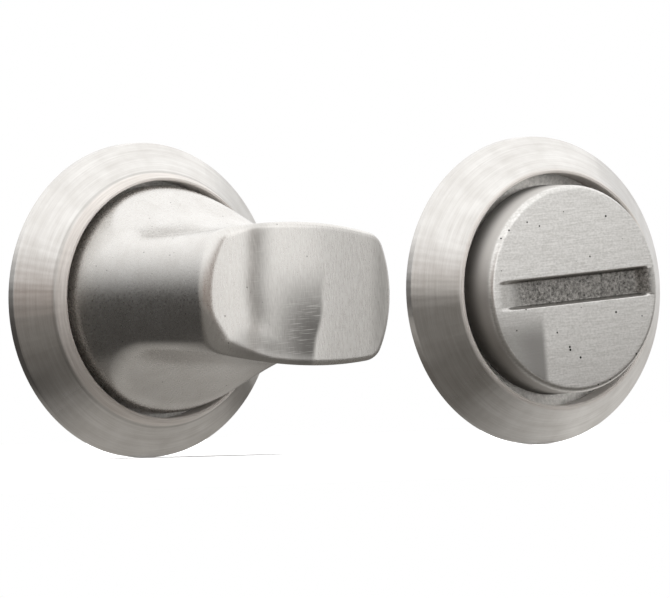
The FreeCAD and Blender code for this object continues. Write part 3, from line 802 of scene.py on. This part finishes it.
face_verts = [disc_point(x, up, h) for (x, up), h in zip(turned_plan, height)]
for vert, skin, wear_and_shade in zip(face_verts, slot_cast(*plan.T), face_painted_reflection(*plan.T)):
    vert[cast] = skin
    vert[wear_and_painted_reflection] = wear_and_shade
for corners in triangles:
    shape.faces.new([face_verts[i] for i in corners])
edge_top = height[:SPOKES]
outline = [(DISC_FRONT - DISC_EDGE * (1 - math.sin(t)), edge_top - DISC_EDGE * (1 - math.cos(t)))
           for t in np.linspace(0, math.pi / 2, EDGE_ROWS)[1:]]
side_top = edge_top - DISC_EDGE
outline += [(DISC_FRONT + DISC_FLARE * part, side_top - (side_top - HEAD_BOTTOM - DISC_FOOT_EDGE) * part)
            for part in np.linspace(0, 1, WALL_ROWS)[1:]]
outline += [(DISC_BASE - DISC_FOOT_BEVEL, HEAD_BOTTOM + DISC_FOOT_BEVEL + nought),
            (DISC_BASE - DISC_FOOT_EDGE, HEAD_BOTTOM + nought),
            (UNDERSIDE_RADIUS, HEAD_BOTTOM + nought)]
spokes = np.stack([cos_a, sin_a], axis=1) @ turn_slot.T
last = face_verts[:SPOKES]
for number, (out, reach) in enumerate(outline):
    ring = [disc_point(out * x, out * up, h) for (x, up), h in zip(spokes, reach)]
    # The side is painted darker towards the door, as the shade deep in the gap
    for vert, painted_shade in zip(ring, fall(reach, GAP_SHADE_TOP, GAP_SHADE_RUN)):
        vert[side] = min(max((number - SIDE_FROM) / SIDE_OVER, 0), 1)
        vert[gap_shade] = GAP_SHADE * painted_shade
    ring_faces(shape, last, ring)
    last = ring
join_to_stem(shape, last, stem_edges)

# %% [markdown]
# ## Cast stainless steel with a ground face
# The disc's face was ground in straight strokes along the slot, the slot keeps its dark cast skin, and the
# side is turned. Casting pores of mixed sizes are left in the face. As on the knob, values stored on the
# points tell one material where it is: cast in the slot, wear_and_painted_reflection on the corner painted
# dark as shade for a dark reflection, side on the turned side, and gap_shade low on the side, painted dark
# as the shade deep in the gap.

# %% Marks and colours of the disc steel
DISC_PORE_PITCH, WIDEST_PORE, PORE_EDGE = 2.0, 0.13, 0.02


def disc_pores(tree, at):
    """1 in casting pores, whose sizes differ from cell to cell."""
    cells = put(tree, "ShaderNodeTexVoronoi", {"Vector": at, "Scale": 1 / DISC_PORE_PITCH}).outputs
    wide = put(tree, "ShaderNodeSeparateColor", {"Color": cells["Color"]}).outputs["Red"]
    wide = put(tree, "ShaderNodeMath", {0: wide, 1: WIDEST_PORE}, operation="MULTIPLY").outputs[0]
    pores = put(tree, "ShaderNodeMath", {0: wide, 1: cells["Distance"]}, operation="SUBTRACT").outputs[0]
    return put(tree, "ShaderNodeMapRange", {"Value": pores, "From Min": 0.0,
                                            "From Max": PORE_EDGE}).outputs[0]


def disc_tone(tree, lines, mottle, grain, pores, where):
    """Pale face with faint strokes, a corner painted darker as shade for a dark reflection, a speckled dark
    skin in the slot, and painted shade low on the side.
    """
    both = put(tree, "ShaderNodeMath", {0: lines, 1: mottle}, operation="ADD").outputs[0]
    both = put(tree, "ShaderNodeMapRange", {"Value": both, "From Min": 0.75, "From Max": 1.25}).outputs[0]
    tone = put(tree, "ShaderNodeMix", {0: both, 6: linear("#bfbdb9"), 7: linear("#dbd9d6")},
               data_type="RGBA").outputs[2]
    speck = put(tree, "ShaderNodeMapRange", {"Value": grain, "From Min": 0.3,
                                             "From Max": 0.72}).outputs[0]
    skin = put(tree, "ShaderNodeMix", {0: speck, 6: linear("#2b2a29"), 7: linear("#b9b6b1")},
               data_type="RGBA").outputs[2]
    # The first colour is painted shade for a dark reflection on the lower corner; the last is painted shade
    # deep in the gap
    for share, over in ((where["wear_and_painted_reflection"], linear("#8f8d8a")), (pores, linear("#2a2927")),
                        (where["cast"], skin), (where["side"], linear("#c4c1bd")),
                        (where["gap_shade"], linear("#4a4845"))):
        tone = put(tree, "ShaderNodeMix", {0: share, 6: tone, 7: over}, data_type="RGBA").outputs[2]
    return tone


print("casting pores, up to", round(2 * WIDEST_PORE * DISC_PORE_PITCH, 2), "mm wide")

# %% Disc steel
STROKES, MOTTLE, CAST_GRAIN = (3.2, 1.0, 0.16), (0.45, 0.45, 0.35), (0.5, 0.5, 0.5)    # mm each way
CAST_SHARPNESS = 0.75
FACE_ROUGHNESS, SKIN_ROUGHNESS, SIDE_ROUGHNESS, SIDE_STRETCH = 0.32, 0.42, 0.62, 0.8
STROKE_DEPTH, CAST_DEPTH = 0.01 * MM, 0.12 * MM


def disc_steel():
    """Gives the eye a bright face with fine level strokes and a few black pores, and a dark slot."""
    material, tree, shader, place = steel("stainless steel, cast, face ground", {})
    centred = put(tree, "ShaderNodeMapping", {"Vector": place, "Location": (-HALF_SPACING, 0, 0),
                                              "Scale": TO_MM}).outputs["Vector"]
    at = put(tree, "ShaderNodeMapping", {"Vector": centred, "Rotation": (0, tilt, 0)}).outputs["Vector"]
    where = {value: put(tree, "ShaderNodeAttribute", attribute_name=value).outputs["Fac"]
             for value in DISC_VALUES}
    lines = marks(tree, at, STROKES, 3.0)
    mottle = marks(tree, at, MOTTLE, 2.0)
    grain = marks(tree, at, CAST_GRAIN, 4.0, CAST_SHARPNESS)
    pores = disc_pores(tree, at)
    tree.links.new(disc_tone(tree, lines, mottle, grain, pores, where), shader.inputs["Base Color"])
    rough = put(tree, "ShaderNodeMapRange", {"Value": where["cast"], "To Min": FACE_ROUGHNESS,
                                             "To Max": SKIN_ROUGHNESS}).outputs[0]
    rough = put(tree, "ShaderNodeMix", {0: where["side"], 2: rough, 3: SIDE_ROUGHNESS},
                data_type="FLOAT").outputs[0]
    tree.links.new(rough, shader.inputs["Roughness"])
    turned = put(tree, "ShaderNodeMath", {0: where["side"], 1: SIDE_STRETCH},
                 operation="MULTIPLY").outputs[0]
    tree.links.new(turned, shader.inputs["Anisotropic"])
    stretch_across_rings(tree, shader)
    relief = put(tree, "ShaderNodeMath", {0: pores, 1: -1.0, 2: lines},
                 operation="MULTIPLY_ADD").outputs[0]
    fine = put(tree, "ShaderNodeBump", {"Height": relief, "Strength": 1.0, "Distance": STROKE_DEPTH})
    pitted = put(tree, "ShaderNodeMath", {0: grain, 1: where["cast"]}, operation="MULTIPLY").outputs[0]
    bump = put(tree, "ShaderNodeBump", {"Height": pitted, "Strength": 1.0, "Distance": CAST_DEPTH,
                                        "Normal": fine.outputs["Normal"]})
    tree.links.new(bump.outputs["Normal"], shader.inputs["Normal"])
    return material


disc = finish_mesh("coin_release_disc", shape, disc_steel())
settle(disc, "release", "release_disc")

# %% [markdown]
# ## The parts behind the covers
# The base plates, bushes, washers and rings are right as CAD made them, so only their materials change.
# All of them are plain finishes with a fine grain, so one function with a few values makes each.

# %% Materials of the inner parts
GRAIN_RELIEF = 0.02    # height of the grain as a share of its width


def grained(name, dark, light, roughness, grain_mm, metallic=1.0):
    """A finish that varies between two colours in grains of a size in mm."""
    material, tree, shader, place = steel(name, {"Metallic": metallic, "Roughness": roughness})
    grain = put(tree, "ShaderNodeTexNoise", {"Vector": place, "Scale": TO_MM[0] / grain_mm, "Detail": 4.0,
                                             "Roughness": 0.7}).outputs["Fac"]
    tone = put(tree, "ShaderNodeMix", {0: grain, 6: linear(dark), 7: linear(light)},
               data_type="RGBA").outputs[2]
    tree.links.new(tone, shader.inputs["Base Color"])
    bump = put(tree, "ShaderNodeBump", {"Height": grain, "Strength": 0.6,
                                        "Distance": GRAIN_RELIEF * grain_mm * MM})
    tree.links.new(bump.outputs["Normal"], shader.inputs["Normal"])
    return material


# A mould's grain that scatters light, so it looks pale and dull, and only a little like metal
cast_steel = grained("stainless steel, as cast", "#77746f", "#f6f3ee", 0.8, 0.7, metallic=0.3)
# Dark grey with a soft sheen, from the phosphate
spring_steel = grained("spring steel, phosphated", "#4b4a49", "#6a6866", 0.38, 0.3)
# Bright and slightly blue
zinc_steel = grained("steel, zinc plated", "#a9abad", "#c6c8ca", 0.3, 0.8)
# Creamy white plastic with a low sheen
acetal = grained("acetal, moulded", "#e6e2d8", "#efece4", 0.45, 0.4, metallic=0.0)
FINISHES = {"base_plate": cast_steel, "snap_ring": spring_steel, "disc_spring": spring_steel,
            "retaining_ring": spring_steel, "flat_washer": zinc_steel, "spindle": zinc_steel,
            "grub_screw": zinc_steel, "bearing_bush": acetal}
for node, item in nodes.items():
    for part, finish in FINISHES.items():
        if node.endswith(part):
            item.data.materials[0] = finish
print("inner parts finished:", sorted(FINISHES))

# %% [markdown]
# ## A white floor and a white world
# The lock stands on a white floor that keeps its shadow, in a white world. Light Path tells the world what
# a ray is for. To the camera and to mirrors the world has strength 1, which is plain white, and it is a
# little stronger as light on matt surfaces.

# %% Floor
FLOOR_LEFT, FLOOR_RIGHT, FLOOR_DEEP = -0.5, 0.6, 0.5    # metres


def panel(name, corners, material):
    """A flat board that belongs to the studio and not to the lock."""
    mesh = bpy.data.meshes.new(name)
    mesh.from_pydata(corners, [], [(0, 1, 2, 3)])
    mesh.materials.append(material)
    board = bpy.data.objects.new(name, mesh)
    bpy.context.scene.collection.objects.link(board)
    return board


def level_corners(left, right, deep, height):
    """Corners of a level board, as far in front of the door plane as behind it."""
    return [(left, -deep, height), (right, -deep, height), (right, deep, height), (left, deep, height)]


def matt(name, hex_colour):
    """Gives the eye a plain colour without any shine."""
    material = bpy.data.materials.new(name)
    material.use_nodes = True
    shader = material.node_tree.nodes["Principled BSDF"]
    shader.inputs["Base Color"].default_value = linear(hex_colour)
    shader.inputs["Roughness"].default_value = 0.9
    shader.inputs["Specular IOR Level"].default_value = 0.0
    return material


floor_z = cad_box[0].z
panel("floor", level_corners(FLOOR_LEFT, FLOOR_RIGHT, FLOOR_DEEP, floor_z),
      matt("white floor", "#f7f7f7"))
print("floor at", round(floor_z / MM, 2), "mm")

# %% World
SEEN, FALLING = 1.0, 1.25
world = bpy.data.worlds.new("white studio")
bpy.context.scene.world = world
world.use_nodes = True
sky = world.node_tree
sky.nodes.clear()
ray = put(sky, "ShaderNodeLightPath").outputs
seen = ray["Is Camera Ray"]
for kind in ("Is Glossy Ray", "Is Transmission Ray"):
    seen = put(sky, "ShaderNodeMath", {0: seen, 1: ray[kind]}, operation="MAXIMUM").outputs[0]
strength = put(sky, "ShaderNodeMapRange", {"Value": seen, "To Min": FALLING, "To Max": SEEN}).outputs[0]
white = put(sky, "ShaderNodeBackground", {"Color": (1, 1, 1, 1), "Strength": strength}).outputs[0]
put(sky, "ShaderNodeOutputWorld", {"Surface": white})
bpy.context.scene.view_settings.view_transform = "Standard"
print("world strength", SEEN, "as it is seen and", FALLING, "as light on matt surfaces")

# %% [markdown]
# ## Two lamps
# A wide softbox overhead gives the soft shadow on the floor, and a fill from the right lights the matt
# plates deep in the gaps. The steel doesn't mirror the lamps: the cards below set what it mirrors.

# %% Lamps
MIDDLE = HALF_SPACING / 2 * MM    # between the two halves


def lamp(name, place, size, radiance):
    """Square area lamp whose power gives a set brightness of its surface."""
    data = bpy.data.lights.new(name, "AREA")
    data.size = size
    data.energy = radiance * math.pi * size ** 2
    light = bpy.data.objects.new(name, data)
    bpy.context.scene.collection.objects.link(light)
    light.location = place
    light.rotation_euler = (Vector((MIDDLE, 0, 0)) - Vector(place)).to_track_quat("-Z", "Y").to_euler()
    light.visible_camera = False
    light.visible_glossy = False
    print(name, round(data.energy, 1), "W")


lamp("overhead softbox", (MIDDLE, -0.05, 0.75), 1.2, 2.2)
lamp("right fill", (0.9, -1.0, 0.15), 0.6, 14.0)

# %% [markdown]
# ## Cards for the steel to mirror
# Metal mostly shows what is around it, so in an all-white world bright steel would look white and flat.
# Cards that only reflections can see stand round the lock and give it something to mirror: dark ones at the
# left for depth, white ones at the right for bright streaks, a white ceiling and a grey table top. The dark
# ones grow lighter upwards, as the walls of a room do towards its lights.

# %% Cards and their light
FADE_LOW, FADE_HIGH, FADE_MIDDLE = -0.12, 0.36, 0.33    # metres from the axis, then a share of the way
CARD_AWAY, CARD_DEGREES = 0.7, 12


def glow(name, hex_colours, strength):
    """Light of its own with three colours, from below the axis to well above it."""
    material, tree, place = blank_material(name)
    height = put(tree, "ShaderNodeSeparateXYZ", {"Vector": place}).outputs["Z"]
    fade = put(tree, "ShaderNodeMapRange", {"Value": height, "From Min": FADE_LOW,
                                            "From Max": FADE_HIGH}).outputs[0]
    ramp = put(tree, "ShaderNodeValToRGB", {"Fac": fade})
    ramp.color_ramp.elements.new(FADE_MIDDLE)
    for stop, hex_colour in zip(ramp.color_ramp.elements, hex_colours):
        stop.color = linear(hex_colour)
    light = put(tree, "ShaderNodeEmission", {"Color": ramp.outputs[0], "Strength": strength})
    put(tree, "ShaderNodeOutputMaterial", {"Surface": light.outputs[0]})
    return material


def card(name, corners, material):
    """A board that only reflections can see."""
    board = panel(name, corners, material)
    board.visible_camera = False
    board.visible_diffuse = False
    board.visible_shadow = False


def standing_card(name, start, end, low, high, material):
    """Card that stands round the lock between two azimuths and two elevations, in degrees."""
    steps = max(2, int(abs(end - start) // CARD_DEGREES) + 1)
    turns = [math.radians(start + (end - start) * i / steps) for i in range(steps + 1)]
    for i, (a, b) in enumerate(zip(turns, turns[1:])):
        corners = [(MIDDLE + CARD_AWAY * math.sin(t), -CARD_AWAY * math.cos(t),
                    CARD_AWAY * math.tan(math.radians(e)))
                   for t, e in ((a, low), (b, low), (b, high), (a, high))]
        card(f"{name} {i}", corners, material)


print("cards stand", CARD_AWAY, "m away")

# %% Standing cards and ceiling
WHITE = ["#ffffff"] * 3
ROOM = 1.48                            # brightness of the pale parts of the room
CEILING_LEFT, CEILING_RIGHT, CEILING_DEEP, CEILING_HEIGHT = -0.9, 0.98, 0.9, 0.5    # metres
STANDING_CARDS = (
    ("dark room", -178, -112, -10, 28, ("#33312f", "#302e2c", "#ffffff"), ROOM),
    ("side wall", -112, -74, -10, 28, ("#5c5955", "#807c77", "#ffffff"), ROOM),
    ("near wall", -74, -2, -10, 28, ("#5c5854", "#85766d", "#ffffff"), ROOM),
    ("window", -2, 30, -2, 45, WHITE, 1.75),
    ("sill", -2, 33, -10, -2, ["#8a8784"] * 3, 1.0),
    ("right wall", 30, 52, -2, 40, WHITE, 1.15),
    ("far wall", 52, 76, -8, 34, ("#d4d3d1", "#d4d3d1", "#ffffff"), 1.0),
)
for name, start, end, low, high, colours, strength in STANDING_CARDS:
    standing_card(name, start, end, low, high, glow(name, colours, strength))
card("ceiling", level_corners(CEILING_LEFT, CEILING_RIGHT, CEILING_DEEP, CEILING_HEIGHT),
     glow("ceiling", WHITE, ROOM))
print("standing cards:", [name for name, *_ in STANDING_CARDS])

# %% Table top
TABLE_HALF, TABLE_LIFT = 0.6, 0.5 * MM
TABLE_LEFT, TABLE_RIGHT = -0.03, 0.11    # metres between which its shade changes
TABLE_ENDS = ("#4a4846", "#e6e4e1")
TABLE_STOPS = ((0.13, "#b5b2ae"), (0.36, "#b8b5b1"), (0.52, "#716e6a"), (0.65, "#716e6a"),
               (0.84, "#e6e4e1"))
TABLE_FRONT = ((-0.008, -0.02, "#6e6b67"), (-0.028, -0.04, "#85827e"))    # metres out from the door


def table_glow():
    """Table top as reflections see it: dark in front and at the far left, lighter towards the right."""
    material, tree, place = blank_material("table top")
    split = put(tree, "ShaderNodeSeparateXYZ", {"Vector": place}).outputs
    along = put(tree, "ShaderNodeMapRange", {"Value": split["X"], "From Min": TABLE_LEFT,
                                             "From Max": TABLE_RIGHT}).outputs[0]
    ramp = put(tree, "ShaderNodeValToRGB", {"Fac": along})
    stops = ramp.color_ramp.elements
    for share, hex_colour in TABLE_STOPS:
        stops.new(share).color = linear(hex_colour)
    stops[0].color, stops[-1].color = [linear(hex_colour) for hex_colour in TABLE_ENDS]
    tone = ramp.outputs[0]
    for start, end, hex_colour in TABLE_FRONT:
        share = put(tree, "ShaderNodeMapRange", {"Value": split["Y"], "From Min": start, "From Max": end},
                    interpolation_type="SMOOTHSTEP").outputs[0]
        tone = put(tree, "ShaderNodeMix", {0: share, 6: tone, 7: linear(hex_colour)},
                   data_type="RGBA").outputs[2]
    light = put(tree, "ShaderNodeEmission", {"Color": tone, "Strength": 1.0})
    put(tree, "ShaderNodeOutputMaterial", {"Surface": light.outputs[0]})
    return material


card("table", level_corners(-TABLE_HALF, TABLE_HALF, TABLE_HALF, floor_z + TABLE_LIFT), table_glow())
print("table top at", round((floor_z + TABLE_LIFT) / MM, 2), "mm")

# %% [markdown]
# ## Camera
# The camera stands far away with a long lens, so that both halves are seen from nearly the same side and
# neither looks larger. It is level with the axes, to the left of the lock, and rolled a little.

# %% Camera
AZIMUTH, ELEVATION, ROLL, DISTANCE = -35.0, -0.4, 1.73, 2.0
PX_PER_MM, IMAGE_WIDTH = 5.98, 670
SHIFT_PX = (-2.6, -3.7)    # pixels by which the picture's middle is away from the lock's
azimuth, elevation = math.radians(AZIMUTH), math.radians(ELEVATION)
back = Vector((math.sin(azimuth) * math.cos(elevation), -math.cos(azimuth) * math.cos(elevation),
               math.sin(elevation)))
turned_view = back.to_track_quat("Z", "Y").to_matrix() @ Matrix.Rotation(math.radians(-ROLL), 3, "Z")
target = Vector((MIDDLE, 0, 0)) + turned_view @ Vector((*SHIFT_PX, 0)) / PX_PER_MM * MM
camera_data = bpy.data.cameras.new("camera")
camera_data.sensor_width = 36.0
camera_data.lens = camera_data.sensor_width * DISTANCE / (IMAGE_WIDTH / PX_PER_MM * MM)
camera = bpy.data.objects.new("camera", camera_data)
bpy.context.scene.collection.objects.link(camera)
camera.matrix_world = Matrix.Translation(target + back * DISTANCE) @ turned_view.to_4x4()
bpy.context.scene.camera = camera
print("lens", round(camera_data.lens), "mm")
